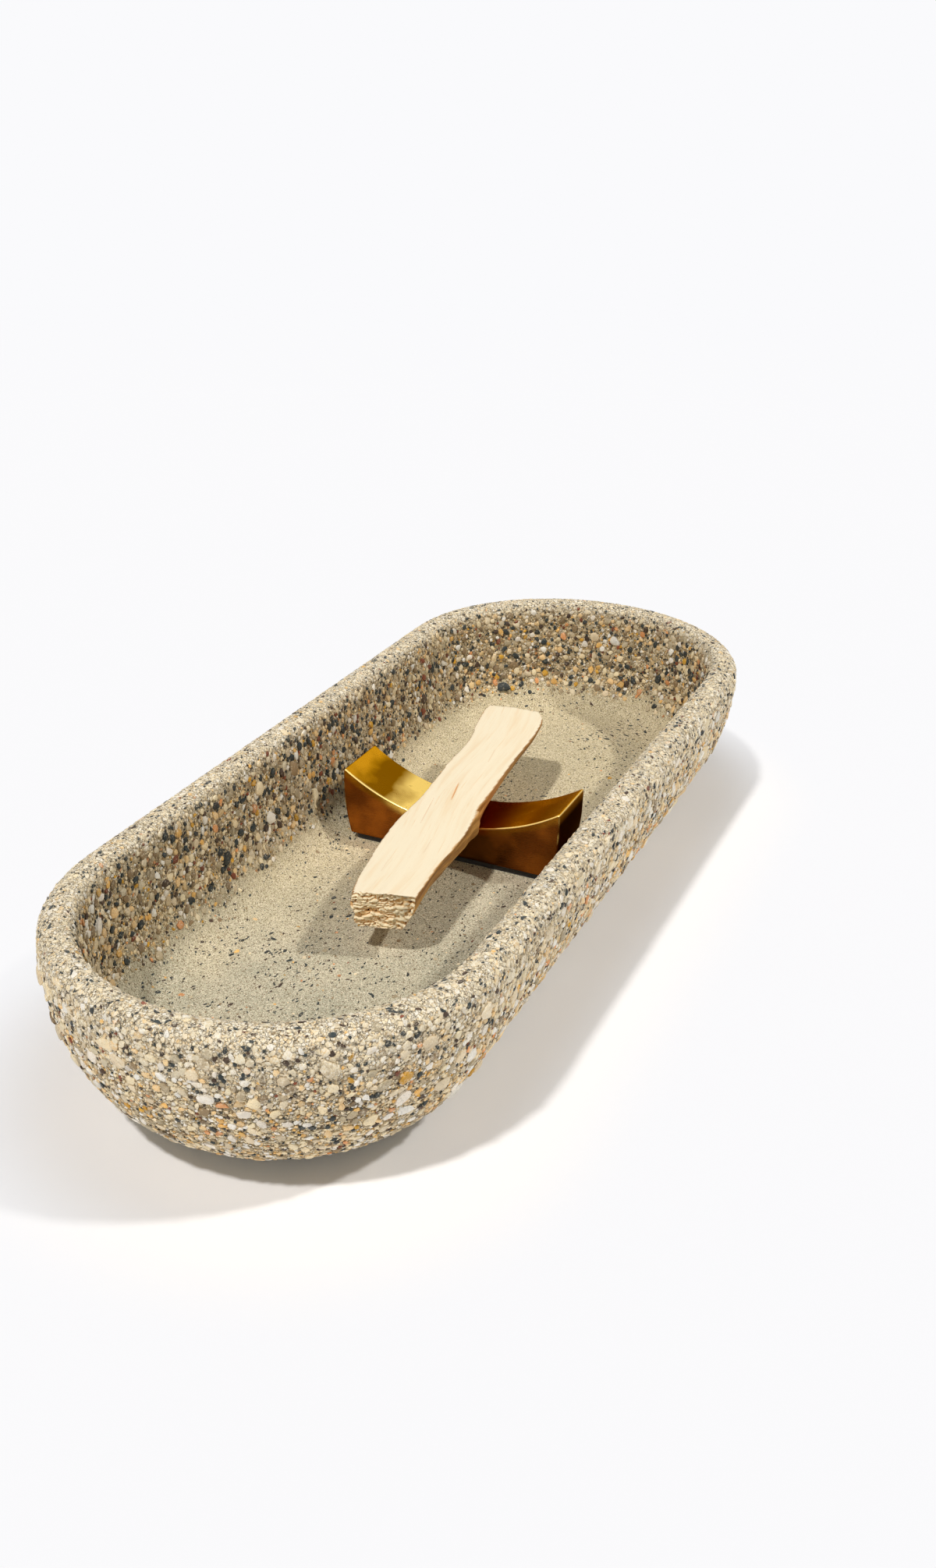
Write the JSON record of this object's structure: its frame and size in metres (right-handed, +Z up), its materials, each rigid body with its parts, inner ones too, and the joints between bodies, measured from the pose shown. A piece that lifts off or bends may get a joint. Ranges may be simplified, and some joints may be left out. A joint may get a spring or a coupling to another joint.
{
  "type": "palo santo holder",
  "caption": "Long round-ended concrete dish with a hollowed brass rest across it, which holds a smouldering stick of wood over the ash.",
  "frame": {"origin": "on the table, under the middle of the dish", "axes": "+X along the dish, away from the near end; +Y across it, to the left as seen from the near end; +Z up"},
  "size_m": [0.24, 0.09, 0.0385],
  "materials": {
    "concrete": "cast concrete with the aggregate exposed on the walls, ground rim, smooth grey floor",
    "foot_felt": "dense black felt",
    "brass": "satin brass, darkened in use, brighter along the edges",
    "pad_felt": "dense black felt",
    "pale_wood": "raw split wood, pale top, tan sides, chopped ends"
  },
  "bodies": {
    "dish": {"dish": "concrete", "felt_foot_near_left": "foot_felt", "felt_foot_near_right": "foot_felt", "felt_foot_far_left": "foot_felt", "felt_foot_far_right": "foot_felt"},
    "rest": {"brass_rest": "brass", "rest_pad": "pad_felt"},
    "stick": {"palo_santo_stick": "pale_wood"}
  },
  "joints": [
    {"name": "rest_lift", "type": "slide", "parent": "dish", "child": "rest", "axis": [0, 0, 1], "range_m": [0, 0.045]},
    {"name": "stick_lift", "type": "slide", "parent": "rest", "child": "stick", "axis": [0, 0, 1], "range_m": [0, 0.04]}
  ]
}
